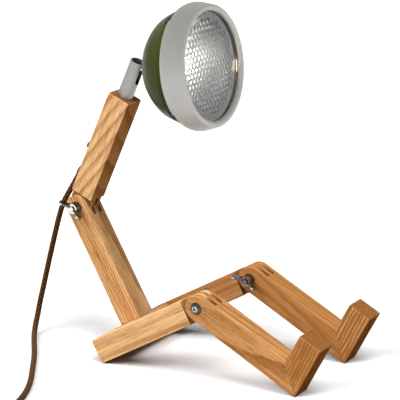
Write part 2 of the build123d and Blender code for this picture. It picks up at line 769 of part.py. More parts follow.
# ---- Assembly
def lamp_pieces():
    """Every piece of the lamp itself, in place, as node name to solid or list of solids."""
    pieces = {
        "right_thigh": seat_frame * thigh(-1),
        "left_thigh": seat_frame * thigh(1),
        "seat_crossbar": seat_frame * crossbar(),
        "seat_dowels": [seat_frame * d for d in seat_dowels()],
        "lower_post": seat_frame * lower_post(),
        "post_screw": seat_frame * post_screw(),
        "upper_post": torso_frame * upper_post(),
        "switch_body": torso_frame * switch_body(),
        "switch_collar": torso_frame * switch_collar(),
        "switch_button": torso_frame * switch_button(),
        "cord_strain_relief": torso_frame * strain_relief(),
        "inner_lead": torso_frame * inner_lead(),
        "neck_tube": neck_frame * neck_tube(),
        "tilt_pin": neck_frame * tilt_pin(),
        "tilt_bracket": head_frame * tilt_bracket(),
        "stud_nut": head_frame * stud_nut(),
        "headlamp_shell": head_frame * shell(),
        "bezel_ring": head_frame * bezel(),
        "bezel_clips": [head_frame * c for c in clips()],
        "lens_gasket": head_frame * gasket(),
        "lens": head_frame * lens(),
        "reflector": head_frame * reflector(),
        "heat_sink": head_frame * heat_sink(),
        "led_board": head_frame * led_board(),
        "led_emitter": head_frame * emitter(),
    }
    torso_hinge = seat_frame * Pos(post_x, 0, half + lower_post_rise)
    pieces["torso_bolt"] = torso_hinge * bolt()
    pieces["torso_washer"] = torso_hinge * washer()
    turn = Rot(0, seat_pitch + torso_nut_turn, 0)
    pieces["torso_wing_nut"] = torso_hinge * turn * wing_nut()
    for name, side, nut_turn in (("right", -1, right_nut_turn), ("left", 1, left_nut_turn)):
        frame = leg_frame(side)
        facing = Rot(0, 0, 0 if side > 0 else 180)
        pieces[name + "_shin"] = frame * shin()
        pieces[name + "_foot"] = frame * foot()
        pieces[name + "_mitre_dowels"] = [frame * d for d in mitre_dowels()]
        pieces[name + "_knee_bolt"] = frame * facing * bolt()
        pieces[name + "_knee_washer"] = frame * facing * washer()
        pieces[name + "_knee_wing_nut"] = Pos(frame.position) * Rot(0, nut_turn, 0) * facing * wing_nut()
    return pieces


def solids_of(piece):
    return piece if isinstance(piece, list) else [piece]


def middle_x(pieces):
    """Halfway between the rearmost and the foremost point of the lamp."""
    boxes = [s.bounding_box() for piece in pieces.values() for s in solids_of(piece)]
    return (min(b.min.X for b in boxes) + max(b.max.X for b in boxes)) / 2


def main():
    os.makedirs("parts", exist_ok=True)
    pieces = lamp_pieces()
    shift = Pos(-middle_x(pieces), 0, 0)
    pieces = {name: [shift * s for s in solids_of(piece)] for name, piece in pieces.items()}
    pieces["cord"] = [cord(shift)]
    pieces["cord_coil"] = [coil()]
    pieces["cord_tail"] = [cord_tail()]
    pieces["plug_body"] = [plug_body()]
    pieces["plug_pins"] = plug_pins()
    for name, solids in pieces.items():
        shape = solids[0] if len(solids) == 1 else Compound(children=solids)
        export_step(shape, f"parts/{name}.step")
    places = {
        "torso hinge": torso_frame,
        "neck": neck_frame,
        "tilt": head_frame,
        "knee": leg_frame(1),
        "relief end": torso_frame * relief_end(),
        "switch": torso_frame * Pos(-half, 0, switch_height),
    }
    for name, frame in places.items():
        place = shift * frame
        print(name, [round(v, 4) for v in place.position], "x", [round(v, 5) for v in Plane(place).x_dir],
              "z", [round(v, 5) for v in Plane(place).z_dir])
    print("seat pitch", round(seat_pitch, 3), "nodes", len(pieces))


main()
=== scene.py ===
"""Looks of the jointed ash desk lamp: oiled ash bars, plated hardware, enamelled headlamp, braided cord.

Lengths are in metres unless a name ends in _mm. X points the way the figure faces, Z is up.
"""
import json
import math

import bmesh
import bpy
from bpy.props import FloatProperty, FloatVectorProperty, IntProperty, PointerProperty
from mathutils import Matrix, Vector


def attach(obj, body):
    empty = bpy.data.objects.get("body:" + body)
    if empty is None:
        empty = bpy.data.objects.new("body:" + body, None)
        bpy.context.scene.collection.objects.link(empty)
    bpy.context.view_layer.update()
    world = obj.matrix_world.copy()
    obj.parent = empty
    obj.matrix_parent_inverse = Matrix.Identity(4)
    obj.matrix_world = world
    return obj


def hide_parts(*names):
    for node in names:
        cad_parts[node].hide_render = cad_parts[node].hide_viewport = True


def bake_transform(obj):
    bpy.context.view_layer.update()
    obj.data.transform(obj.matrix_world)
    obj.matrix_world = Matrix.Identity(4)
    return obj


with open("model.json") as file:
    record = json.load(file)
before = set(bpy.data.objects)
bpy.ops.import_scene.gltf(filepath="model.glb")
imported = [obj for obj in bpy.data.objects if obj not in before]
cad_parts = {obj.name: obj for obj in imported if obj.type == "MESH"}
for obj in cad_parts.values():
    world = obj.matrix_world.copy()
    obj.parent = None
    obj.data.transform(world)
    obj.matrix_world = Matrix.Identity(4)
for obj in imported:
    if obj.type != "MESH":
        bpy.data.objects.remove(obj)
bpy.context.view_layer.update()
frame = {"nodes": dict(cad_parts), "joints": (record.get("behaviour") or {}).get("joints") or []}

bl_info = {
    "name": "Figure lamp",
    "version": (1, 0, 0),
    "blender": (4, 5, 0),
    "location": "3D View > Sidebar > Figure lamp",
    "description": "Dresses the jointed wooden desk lamp and sets its stage",
    "category": "Object",
}

# ---- Where the parts lie
hinge = {joint["name"]: Vector(joint["pos_m"]) for joint in frame["joints"] if "pos_m" in joint}
SEAT_PITCH = math.radians(28.31)      # the thighs rise towards the knees
POST_PITCH = math.radians(65.31)      # the upper post rises towards the head
SHIN_PITCH = math.radians(-29.19)     # the shins fall towards the feet
HEAD_PITCH = math.radians(6.4)        # the headlamp looks a little upward
QUARTER = math.radians(90)
BAR = 0.022                           # side of the square bars
HALF_BAR_MM = BAR * 500
LOWER_POST = 0.112                    # torso hinge to the top of the crossbar
SHIN = 0.112                          # knee hinge to the sole


def tilted(origin, pitch):
    """Axes at origin, Y kept, X turned up from level by pitch."""
    return Matrix.Translation(origin) @ Matrix.Rotation(-pitch, 4, "Y")


torso_axes = tilted(hinge["torso_hinge"], POST_PITCH)                      # X up the upper post
lower_axes = tilted(hinge["torso_hinge"], SEAT_PITCH + QUARTER)            # X up the lower post
head_axes = tilted(hinge["head_tilt"], HEAD_PITCH)                         # X along the beam
post_foot = lower_axes @ Vector((-LOWER_POST - BAR / 2, 0, 0))
crossbar_axes = tilted(post_foot, SEAT_PITCH) @ Matrix.Rotation(QUARTER, 4, "Z")


def thigh_axes(side):
    """X along the thigh, rising towards the knee, from the knee hinge."""
    return tilted(hinge[side + "_knee"], SEAT_PITCH)


def shin_axes(side):
    """X down the shin, from the knee hinge."""
    return tilted(hinge[side + "_knee"], SHIN_PITCH)


def foot_axes(side):
    """X from heel to toe, from the middle of the mitre."""
    mitre = shin_axes(side) @ Vector((SHIN - BAR / 2, 0, 0))
    return tilted(mitre, SHIN_PITCH + QUARTER)


# ---- Settings that a user would change
def length(name, description, default):
    """A size in metres."""
    return FloatProperty(name=name, description=description, default=default, unit="LENGTH", precision=5)


def colour(name, description, default):
    """A colour in linear red, green and blue."""
    return FloatVectorProperty(name=name, description=description, default=default, size=3,
                               subtype="COLOR", min=0, max=1)


def share(name, description, default):
    """A number from 0 to 1."""
    return FloatProperty(name=name, description=description, default=default, subtype="FACTOR",
                         min=0, max=1)


class AshSettings(bpy.types.PropertyGroup):
    """Colours and gloss of the wooden bars."""
    pale: colour("Pale wood", "Late wood in a growth ring", (0.93, 0.595, 0.305))
    warm: colour("Warm wood", "Broad warmer areas", (0.60, 0.27, 0.080))
    ring: colour("Ring line", "Early wood in a growth ring", (0.36, 0.142, 0.036))
    # The pore colour also darkens the end grain, and paints the shade on the cheeks inside the hinge slots
    # and the headlamp's shadow on the upper post's top.
    pore_and_painted_shade: colour("Pores", "Open pores in the early wood", (0.21, 0.082, 0.024))
    roughness: share("Roughness", "Gloss of the oiled surface", 0.50)


class MetalSettings(bpy.types.PropertyGroup):
    """Enamel, nickel and steel."""
    enamel: colour("Enamel", "Bowl of the headlamp", (0.046, 0.060, 0.009))
    nickel: colour("Satin nickel", "Bezel and neck tube", (0.43, 0.425, 0.405))
    steel: colour("Plated steel", "Bolts, washers and wing nuts", (0.74, 0.73, 0.71))
    nickel_roughness: share("Nickel roughness", "Gloss of the satin nickel", 0.52)
    steel_roughness: share("Steel roughness", "Gloss of the plated steel", 0.18)


class LensSettings(bpy.types.PropertyGroup):
    """The pressed glass."""
    radius: length("Radius", "Edge of the glass", 0.0497)
    crown_radius: length("Crown radius", "Edge of the crowned middle", 0.0462)
    crown: length("Crown", "Height of the crowned middle", 0.002)
    thickness: length("Thickness", "Glass at its rim", 0.003)
    front: length("Front", "Tilt axis to the front of the rim", 0.0751)
    bump_pitch: length("Bump pitch", "Spacing of the pressed bumps", 0.0054)
    bump_height: length("Bump height", "Height of the pressed bumps", 0.0010)
    bump_field: length("Bump field", "Radius of the round field of bumps", 0.0385)


class CordSettings(bpy.types.PropertyGroup):
    """The braided flex, its coil and its plug."""
    diameter: length("Diameter", "Outside of the braid", 0.005)
    turn: length("Outer turn", "Radius of the coil's outer turn, to the middle of the cord", 0.037)
    turns_across: IntProperty(name="Turns across", description="Turns that lie beside each other",
                              default=4, min=1)
    braid: colour("Braid", "Textile cover", (0.165, 0.070, 0.016))
    # Painted shade: the nearly black colour in the hollows between the strands.
    braid_crevice_shade: colour("Braid shade", "Between the strands", (0.022, 0.010, 0.004))


class StudioSettings(bpy.types.PropertyGroup):
    """Camera and lamps."""
    azimuth: FloatProperty(name="Azimuth", description="Camera round the lamp from its right side",
                           default=math.radians(30.03), subtype="ANGLE")
    elevation: FloatProperty(name="Elevation", description="Camera above level",
                             default=math.radians(14.69), subtype="ANGLE")
    roll: FloatProperty(name="Roll", description="Camera about its own axis",
                        default=math.radians(-1.1), subtype="ANGLE")
    distance: length("Distance", "Camera to the point it looks at", 1.8)
    focal_mm: FloatProperty(name="Focal length", description="Camera's lens", default=181.99,
                            unit="CAMERA")
    key: FloatProperty(name="Key light", description="Broad light from the left, 1 lights white fully",
                       default=0.76, min=0)
    top: FloatProperty(name="Top light", description="Broad light from above, 1 lights white fully",
                       default=0.76, min=0)
    spread: FloatProperty(name="Spread", description="How wide the lights are, for soft shadows",
                          default=math.radians(38), subtype="ANGLE")


# ---- Shader building
class Value:
    """A number that varies over a surface, with arithmetic that adds Math nodes."""

    def __init__(self, shader, socket):
        self.shader = shader
        self.socket = socket

    def maths(self, operation, *others):
        inputs = dict(enumerate((self,) + others))
        return self.shader.node("Math", {"operation": operation}, inputs)

    def __add__(self, other):
        return self.maths("ADD", other)

    def __sub__(self, other):
        return self.maths("SUBTRACT", other)

    def __mul__(self, other):
        return self.maths("MULTIPLY", other)

    def __truediv__(self, other):
        return self.maths("DIVIDE", other)

    def __rsub__(self, other):
        return (self * -1.0) + other

    def __abs__(self):
        return self.maths("ABSOLUTE")

    __radd__ = __add__
    __rmul__ = __mul__

    def hypot(self, other):
        return (self * self + other * other).maths("SQRT")

    def fraction(self):
        return self.maths("FRACT")

    def floor(self):
        return self.maths("FLOOR")

    def sine(self):
        return self.maths("SINE")

    def larger(self, other):
        return self.maths("MAXIMUM", other)

    def smooth(self, low, high):
        """0 below low, 1 above high, eased between them."""
        inputs = {"Value": self, "From Min": low, "From Max": high}
        return self.shader.node("MapRange", {"interpolation_type": "SMOOTHSTEP"}, inputs)


class NodeTree:
    """The nodes of a material or of the world, and helpers that add to them."""

    def __init__(self, tree):
        self.tree = tree

    def feed(self, socket, value):
        """Links a socket to a Value, or sets it."""
        if isinstance(value, Value):
            self.tree.links.new(value.socket, socket)
        elif socket.type == "RGBA":
            socket.default_value = tuple(value) + (1.0,)
        else:
            socket.default_value = value

    def node(self, kind, settings=None, inputs=None, output=0):
        """Adds a node, sets it up, then gives its sockets their values or links."""
        node = self.tree.nodes.new("ShaderNode" + kind)
        for name, value in (settings or {}).items():
            setattr(node, name, value)
        for key, value in (inputs or {}).items():
            self.feed(node.inputs[key], value)
        return Value(self, node.outputs[output])

    def mix(self, factor, first, second):
        """The first colour where the factor is 0, the second where it is 1."""
        settings = {"data_type": "RGBA", "clamp_factor": True}
        return self.node("Mix", settings, {0: factor, 6: first, 7: second}, output=2)

    def dot(self, first, second):
        """How far two vectors point the same way."""
        return self.node("VectorMath", {"operation": "DOT_PRODUCT"}, {0: first, 1: second}, output="Value")

    def noise(self, vector, scale, detail=2.0, roughness=0.5):
        """Cloudy noise about 0.5."""
        inputs = {"Vector": vector, "Scale": scale, "Detail": detail, "Roughness": roughness}
        return self.node("TexNoise", inputs=inputs)

    def grain(self, vector, fineness, detail=2.0, roughness=0.5):
        """Noise with a fineness of its own along each axis."""
        mapped = self.node("Mapping", {"vector_type": "POINT"}, {"Vector": vector, "Scale": fineness})
        return self.noise(mapped, 1.0, detail, roughness)

    def parts(self, vector):
        """The vector's X, Y and Z."""
        return [self.node("SeparateXYZ", inputs={0: vector}, output=i) for i in range(3)]

    def local_mm(self, axes):
        """Position in millimetres along the given axes."""
        back = axes.inverted()
        coords = self.node("TexCoord", output="Object")
        inputs = {"Vector": coords, "Location": back.translation * 1000,
                  "Rotation": back.to_euler(), "Scale": (1000, 1000, 1000)}
        return self.node("Mapping", {"vector_type": "POINT"}, inputs)

    def squarely(self, axes, direction):
        """1 where the surface faces along a direction of the axes, 0 where it is square to it."""
        normal = self.node("TexCoord", output="Normal")
        return abs(self.dot(normal, axes.to_3x3() @ Vector(direction)))

    def ray(self, *kinds):
        """1 for these kinds of ray, 0 for any other."""
        total = sum(self.node("LightPath", output="Is " + kind + " Ray") for kind in kinds)
        return total.smooth(0.0, 1.0)


class Shader(NodeTree):
    """A material with one glossy surface."""

    def __init__(self, name, **surface):
        self.material = bpy.data.materials.new(name)
        self.material.use_nodes = True
        super().__init__(self.material.node_tree)
        self.surface = self.tree.nodes["Principled BSDF"]
        self.set(**surface)

    def set(self, **sockets):
        """Feeds sockets of the surface, named in lower case with underscores."""
        for name, value in sockets.items():
            self.feed(self.surface.inputs[name.replace("_", " ").title().replace("Ior", "IOR")], value)

    def bump(self, height, strength, distance):
        """Bends the surface's light as if it rose with the height."""
        inputs = {"Strength": strength, "Distance": distance, "Height": height}
        self.set(normal=self.node("Bump", inputs=inputs))


def dimmed(tint, level):
    """The colour at this share of its light."""
    return tuple(part * level for part in tint)


def dress(material, *nodes):
    """Gives CAD nodes a material."""
    for name in nodes:
        slots = frame["nodes"][name].data.materials
        slots.clear()
        slots.append(material)


# ---- Mesh building
def piece(name, verts, faces, material, body, smooth_angle=0.6):
    """A new mesh object that rides on a body, smooth but for its sharp edges."""
    mesh = bpy.data.meshes.new(name)
    mesh.from_pydata([tuple(v) for v in verts], [], faces)
    mesh.validate()
    solid = bmesh.new()
    solid.from_mesh(mesh)
    bmesh.ops.recalc_face_normals(solid, faces=solid.faces)
    solid.to_mesh(mesh)
    solid.free()
    mesh.shade_smooth()
    mesh.set_sharp_from_angle(angle=smooth_angle)
    mesh.materials.append(material)
    obj = bpy.data.objects.new(name, mesh)
    bpy.context.scene.collection.objects.link(obj)
    if body:
        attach(obj, body)
    return obj


def ring_faces(first, second, count, around=True):
    """Quads between two rings of vertices that start at these indices."""
    steps = count if around else count - 1
    return [(first + i, first + (i + 1) % count, second + (i + 1) % count, second + i)
            for i in range(steps)]


def turned(name, outline, axes, material, body, segments):
    """A solid turned about the axes' X from a closed outline of (x, radius)."""
    verts = []
    faces = []
    for x, radius in outline:
        for i in range(segments):
            angle = 2 * math.pi * i / segments
            verts.append(axes @ Vector((x, radius * math.cos(angle), radius * math.sin(angle))))
    rings = len(outline)
    for k in range(rings):
        faces += ring_faces(k * segments, (k + 1) % rings * segments, segments)
    return piece(name, verts, faces, material, body)


def lofted(name, rings, axes, material, body):
    """A closed solid through rings of points, all of the same count."""
    count = len(rings[0])
    verts = [axes @ point for ring in rings for point in ring]
    faces = [tuple(range(count)), tuple(range(len(verts) - count, len(verts)))]
    for k in range(len(rings) - 1):
        faces += ring_faces(k * count, (k + 1) * count, count)
    return piece(name, verts, faces, material, body)


# ---- Ash
class Bar:
    """How one wooden bar was sawn. Distances are in millimetres on the bar's own axes."""

    def __init__(self, axes, pith, lean, ring_mm, warmth=0.3, depth=1.0, flecks=1.0, waver=1.0, tone=0.0,
                 ends=0.60, seed=0.0):
        self.axes = axes
        self.pith = pith            # where the tree's middle lay, across the bar
        self.lean = lean            # how fast that line moves across, along the bar
        self.ring_mm = ring_mm
        self.warmth = warmth        # share of the warmer colour
        self.depth = depth          # how dark the ring lines are
        self.flecks = flecks        # how many short dark pores
        self.waver = waver          # how far the rings wander
        self.tone = tone            # how much browner the whole bar is
        self.ends = ends            # how dark the end grain is: the oil darkens it, and on the upper post it also holds a painted shadow of the headlamp
        self.seed = seed            # moves the figure, so that no two bars match


# Fineness of the wood's figures: along the bar, across it and up it
WANDER = (0.014, 0.06, 0.06)
RIPPLE = (0.05, 0.30, 0.30)
STREAK = (0.014, 0.40, 0.40)
FIBRE = (0.06, 0.65, 0.65)
PORES = (0.22, 1.5, 1.5)


def ring_figure(shader, at, bar):
    """Early wood from 0 to 1, and a number for every growth ring."""
    x, y, z = shader.parts(at)
    slow = shader.grain(at, WANDER, 1.0)
    ripple = shader.grain(at, RIPPLE)
    across = y - bar.pith[0] - x * bar.lean[0]
    up = z - bar.pith[1] - x * bar.lean[1]
    radius = across.hypot(up) + (slow - 0.5) * (4.0 * bar.waver) + (ripple - 0.5) * (1.3 * bar.waver)
    ring = radius / bar.ring_mm + bar.seed
    phase = ring.fraction()
    ring_tone = shader.node("TexWhiteNoise", {"noise_dimensions": "1D"}, {"W": ring.floor()})
    early = (1.0 - phase.smooth(0.12, 0.72)) * phase.smooth(0.0, 0.10)
    return early * (ring_tone * 0.7 + 0.5), ring_tone


def ash(name, bar, settings):
    """Oiled ash: growth rings round a line beside the bar, pores in the early wood, darker ends, and painted
    shade on the cheeks inside the hinge slots.
    """
    shader = Shader(name, specular_ior_level=0.0)
    at = shader.local_mm(bar.axes)
    y, z = shader.parts(at)[1:]
    moved = shader.node("VectorMath", {"operation": "ADD"}, {0: at, 1: (bar.seed * 37.0, bar.seed, 0.0)})
    early, ring_tone = ring_figure(shader, at, bar)
    streak = shader.grain(moved, STREAK, 3.0, 0.6)
    fibre = shader.grain(moved, FIBRE, 4.0, 0.75)
    pores = shader.grain(moved, PORES, 2.0, 0.7).smooth(0.56, 0.68)
    warm = (ring_tone - 0.5) * 0.30 + (streak - 0.5) * 2.2 + bar.warmth
    wood = shader.mix(warm, settings.pale, settings.warm)
    wood = shader.mix(early * (0.75 * bar.depth) * (streak + 0.45), wood, settings.ring)
    wood = shader.mix((fibre - 0.50).larger(0.0) * (4.4 * bar.depth), wood, settings.ring)
    wood = shader.mix(pores * (early + 0.35) * (0.70 * bar.flecks), wood, settings.pore_and_painted_shade)
    # End grain, darkened by the oil; on the upper post the darker ends also paint the headlamp's shadow on
    # its top.
    end_grain = shader.squarely(bar.axes, (1, 0, 0)).smooth(0.80, 0.97)
    inside = 1.0 - abs(y).smooth(HALF_BAR_MM - 1.0, HALF_BAR_MM - 0.4)
    # Painted shade: the faces inside the hinge slots, square to Y, are darkened towards the pore colour.
    slot_cheek_painted_shade = shader.squarely(bar.axes, (0, 1, 0)).smooth(0.80, 0.97) * inside
    edge = (abs(y) + abs(z)).smooth(2 * HALF_BAR_MM - 0.85, 2 * HALF_BAR_MM - 0.50)
    wood = shader.mix(edge * 0.20 + bar.tone, wood, settings.ring)
    wood = shader.mix((end_grain * bar.ends).larger(slot_cheek_painted_shade * 0.75), wood, settings.pore_and_painted_shade)
    shader.set(base_color=wood, roughness=pores * 0.25 + settings.roughness - edge * 0.10)
    shader.bump(fibre * 0.5 - pores * 0.8 - early * 0.35, 0.35, 0.00025)
    return shader.material


def sawn_bars():
    """How each wooden node was sawn."""
    return {
        # The upper post's ends of 0.90 are partly the oiled end grain and partly a painted shadow of the
        # headlamp on its top.
        "upper_post": Bar(torso_axes, pith=(14, 70), lean=(0.0, -0.30), ring_mm=7.5, warmth=0.12,
                          depth=0.85, flecks=0.8, waver=0.8, ends=0.90, seed=1.0),
        "lower_post": Bar(lower_axes, pith=(-10, 90), lean=(0.0, 0.012), ring_mm=2.6, warmth=0.48,
                          depth=1.1, flecks=0.6, waver=0.35, seed=2.0),
        "seat_crossbar": Bar(crossbar_axes, pith=(30, 30), lean=(0.05, 0.0), ring_mm=4.0, warmth=0.4,
                             seed=3.0),
        "right_thigh": Bar(thigh_axes("right"), pith=(30, -46), lean=(0.03, 0.02), ring_mm=9.0, warmth=0.12,
                           depth=0.75, flecks=0.5, waver=0.8, seed=4.0),
        "left_thigh": Bar(thigh_axes("left"), pith=(26, 40), lean=(0.05, -0.04), ring_mm=4.4, warmth=0.60,
                          tone=0.60, seed=5.0),
        "right_shin": Bar(shin_axes("right"), pith=(34, 20), lean=(0.10, 0.03), ring_mm=8.0, warmth=0.75,
                          depth=1.1, flecks=1.8, waver=0.8, tone=0.24, seed=6.0),
        "left_shin": Bar(shin_axes("left"), pith=(28, -22), lean=(0.10, 0.04), ring_mm=5.0, warmth=0.75,
                         tone=0.55, seed=7.0),
        "right_foot": Bar(foot_axes("right"), pith=(18, 60), lean=(0.04, 0.04), ring_mm=2.4, warmth=0.80,
                          depth=2.2, tone=0.50, seed=8.0),
        "left_foot": Bar(foot_axes("left"), pith=(14, -40), lean=(0.08, 0.08), ring_mm=3.0, warmth=0.45,
                         depth=3.6, waver=1.8, tone=0.52, seed=9.0),
    }


# ---- Metals, enamel, plastics
THREAD_PITCH_MM = 0.8


def satin_nickel(name, settings, axes, brush, dim=0.0):
    """Matt nickel with faint handling marks. brush is how fine the brushing is along each of the axes."""
    shader = Shader(name, metallic=1.0)
    at = shader.local_mm(axes)
    brushed = shader.grain(at, brush, 3.0, 0.6)
    cloud = shader.noise(at, 0.05, 3.0, 0.55)
    shade = cloud.smooth(0.35, 0.75) * 0.12 + brushed * 0.10 + dim
    shader.set(base_color=shader.mix(shade, settings.nickel, dimmed(settings.nickel, 0.7)))
    shader.set(roughness=(brushed - 0.5) * 0.10 + settings.nickel_roughness)
    shader.bump(brushed, 0.04, 0.00005)
    return shader.material


def dark_spring_steel():
    """Blackened spring steel of the clips."""
    shader = Shader("dark_spring_steel", specular_ior_level=0.2)
    grain = shader.noise(shader.local_mm(head_axes), 1.2, 3.0, 0.6)
    shader.set(base_color=shader.mix(grain, (0.010, 0.010, 0.009), (0.028, 0.026, 0.024)))
    shader.set(roughness=grain * 0.2 + 0.38)
    shader.bump(grain, 0.10, 0.0001)
    return shader.material


def plated_steel(name, settings, axes, thread_from=None):
    """Bright plating with faint spots, and a painted dark reflection on the sides that face away from Y.
    thread_from is how far from the axes a bolt's thread starts, in millimetres along Y."""
    shader = Shader(name, metallic=1.0)
    at = shader.local_mm(axes)
    cloud = shader.noise(at, 0.6, 3.0, 0.6)
    spots = shader.noise(at, 2.2, 2.0, 0.5).smooth(0.60, 0.72)
    # Painted dark reflection: the sides that face away from Y are darkened, to near black on the bolts.
    facing_for_painted_reflection = abs(shader.parts(shader.node("TexCoord", output="Normal"))[1])
    shade = facing_for_painted_reflection.smooth(0.998, 0.86) * 0.92 + spots * 0.30
    dark = dimmed(settings.steel, 0.02 if thread_from else 0.12)
    shader.set(base_color=shader.mix(shade, settings.steel, dark))
    shader.set(roughness=cloud * 0.16 + settings.steel_roughness - 0.06 + spots * 0.10)
    height = cloud * 0.10
    if thread_from:
        y = abs(shader.parts(at)[1])
        groove = (y * (2 * math.pi / THREAD_PITCH_MM)).sine()
        height = height + groove * y.smooth(thread_from, thread_from + 0.2)
        shader.bump(height, 0.8, 0.0002)
    else:
        shader.bump(height, 0.25, 0.0001)
    return shader.material


def olive_enamel(settings):
    """Stoved enamel: deep colour under a clear coat with a faint orange-peel surface."""
    shader = Shader("olive_enamel", coat_weight=0.05, coat_roughness=0.12, specular_ior_level=0.06)
    at = shader.local_mm(head_axes)
    peel = shader.noise(at, 0.55, 2.0, 0.5)
    cloud = shader.noise(at, 0.035, 2.0, 0.5)
    shader.set(base_color=shader.mix(cloud.smooth(0.3, 0.7), settings.enamel, dimmed(settings.enamel, 0.78)))
    shader.set(roughness=cloud * 0.08 + 0.34)
    shader.bump(peel, 0.10, 0.0002)
    return shader.material


def moulded(name, tint, roughness):
    """Plain moulded rubber or plastic with a fine moulded grain."""
    shader = Shader(name)
    at = shader.local_mm(Matrix.Identity(4))
    fine = shader.noise(at, 3.0, 2.0, 0.5)
    cloud = shader.noise(at, 0.12, 2.0, 0.5)
    shader.set(base_color=shader.mix(cloud, tint, dimmed(tint, 0.7)))
    shader.set(roughness=fine * 0.14 + roughness - 0.07)
    shader.bump(fine, 0.12, 0.0002)
    return shader.material


def bright_aluminium():
    """The polished reflector, with faint rings left by spinning, and a painted shade that darkens it to near
    black towards its rim.
    """
    shader = Shader("bright_aluminium", metallic=1.0)
    at = shader.local_mm(head_axes)
    y, z = shader.parts(at)[1:]
    # Painted shade: towards the rim the reflector turns near black, for the dark ring round the glass.
    edge = y.hypot(z).smooth(36.0, 43.0)
    shader.set(base_color=shader.mix(edge * 0.92, (0.93, 0.92, 0.89), (0.08, 0.08, 0.075)))
    rings = shader.grain(at, (1.6, 0.02, 0.02))
    shader.set(roughness=rings * 0.04 + 0.04)
    shader.bump(rings, 0.06, 0.0001)
    return shader.material


def cast_aluminium():
    """Bare castings of the heat sink."""
    shader = Shader("heat_sink_aluminium", metallic=1.0)
    at = shader.local_mm(head_axes)
    grain = shader.noise(at, 2.5, 3.0, 0.6)
    shader.set(base_color=shader.mix(grain, (0.52, 0.52, 0.53), (0.38, 0.38, 0.39)))
    shader.set(roughness=grain * 0.15 + 0.38)
    shader.bump(grain, 0.12, 0.0001)
    return shader.material


def white_board():
    """The lamp board: white solder mask with a ring of pads."""
    shader = Shader("white_board")
    at = shader.local_mm(head_axes)
    y, z = shader.parts(at)[1:]
    radius = y.hypot(z)
    pads = radius.smooth(9.4, 9.5) * (1.0 - radius.smooth(10.4, 10.5))
    shader.set(base_color=shader.mix(pads, (0.82, 0.83, 0.80), (0.62, 0.50, 0.26)))
    shader.set(roughness=pads * -0.15 + 0.42)
    return shader.material


def amber_emitter():
    """Phosphor under a clear dome, with a faint warm light."""
    shader = Shader("amber_emitter", emission_strength=90.0, coat_weight=0.6)
    grain = shader.noise(shader.local_mm(head_axes), 1.8, 2.0, 0.5)
    shader.set(base_color=shader.mix(grain, (0.90, 0.70, 0.34), (0.82, 0.58, 0.22)))
    shader.set(emission_color=shader.mix(grain, (1.0, 0.86, 0.68), (1.0, 0.80, 0.58)))
    return shader.material


def pressed_glass():
    """Clear glass with a faint film on it."""
    shader = Shader("lens_glass", transmission_weight=1.0, base_color=(0.985, 0.995, 0.985), ior=1.5)
    film = shader.noise(shader.local_mm(head_axes), 0.06, 3.0, 0.55)
    shader.set(roughness=film.smooth(0.45, 0.8) * 0.04 + 0.01)
    return shader.material


def braided_textile(settings):
    """Textile braid from the piece's own map: strands that cross round the cord, with painted shade in the
    hollows between them.
    """
    shader = Shader("brown_textile", sheen_weight=0.02, specular_ior_level=0.1)
    chart = shader.node("UVMap", {"uv_map": "along"})
    u, v = shader.parts(chart)[:2]
    turns = u * 4.0
    lays = v * 190.0
    right = ((turns + lays) * (2 * math.pi)).sine()
    left = ((turns - lays) * (2 * math.pi)).sine()
    over = (right * left).smooth(-0.6, 0.6)
    height = right.larger(left) * 0.6 + over * 0.4
    yarn = shader.noise(chart, 900.0, 2.0, 0.6)
    raised = height.smooth(-0.1, 0.95) * 0.8 + (yarn - 0.5) * 0.4
    # Painted shade between the strands: the low parts of the braid take the dark colour, and the yarn noise
    # is the braid's own variation.
    shader.set(base_color=shader.mix(raised, settings.braid_crevice_shade, settings.braid))
    shader.set(roughness=yarn * 0.2 + 0.62)
    shader.bump(height, 0.6, 0.0004)
    return shader.material


# ---- The strain relief's line
EXIT_HEIGHT = 0.035                   # torso hinge to the middle of the cord's hole
EXIT_SLOPE = math.radians(28)         # cord's hole to the back of the post
RELIEF_INSIDE = 0.012                 # in the hole
RELIEF_STRAIGHT = 0.002               # outside it, before the sleeve bends down the post
RELIEF_BEND_R = 0.024
RELIEF_BEND = math.radians(21.7)
RELIEF_OUTSIDE = RELIEF_STRAIGHT + RELIEF_BEND_R * RELIEF_BEND

hole_axes = tilted(torso_axes @ Vector((EXIT_HEIGHT, 0, BAR / 2)), POST_PITCH + math.pi - EXIT_SLOPE)


def relief_point(along):
    """The middle of the sleeve this far outside the hole, or inside it where along is negative."""
    angle = max(along - RELIEF_STRAIGHT, 0) / RELIEF_BEND_R
    ahead = min(along, RELIEF_STRAIGHT) + RELIEF_BEND_R * math.sin(angle)
    return hole_axes @ Vector((ahead, 0, RELIEF_BEND_R * (1 - math.cos(angle))))


# ---- The cord's line
RELIEF_END = relief_point(RELIEF_OUTSIDE)
ROUTE = [                   # from the strain relief down to the floor, and along it to the coil
    (-0.132685, 0.0, 0.147162),
    (-0.1386, -0.0001, 0.1379),
    (-0.1463, -0.0003, 0.1261),
    (-0.1505, -0.0004, 0.1170),
    (-0.1562, -0.0008, 0.0985),
    (-0.1664, -0.0017, 0.0620),
    (-0.1720, -0.0029, 0.0395),
    (-0.1746, -0.0046, 0.0275),
    (-0.1756, -0.0070, 0.0173),
    (-0.1750, -0.0126, 0.0080),
    (-0.1708, -0.0212, 0.0025),
    (-0.1592, -0.0386, 0.0025),
    (-0.1368, -0.0705, 0.0025),
    (-0.1156, -0.1050, 0.0025),
    (-0.1013, -0.1285, 0.0025),
    (-0.0885, -0.1540, 0.0025),
    (-0.0795, -0.1815, 0.0025),
    (-0.0764, -0.2110, 0.0025),
    (-0.0766, -0.2360, 0.0025),
]
COIL_CENTRE = Vector((-0.040, -0.245, 0.0))
JOINS = 180.0               # degrees round the coil where the cord comes to it
LEAVES = 262.0              # and where it leaves for the plug
STEP = 20.0                 # from one point of the coil to the next
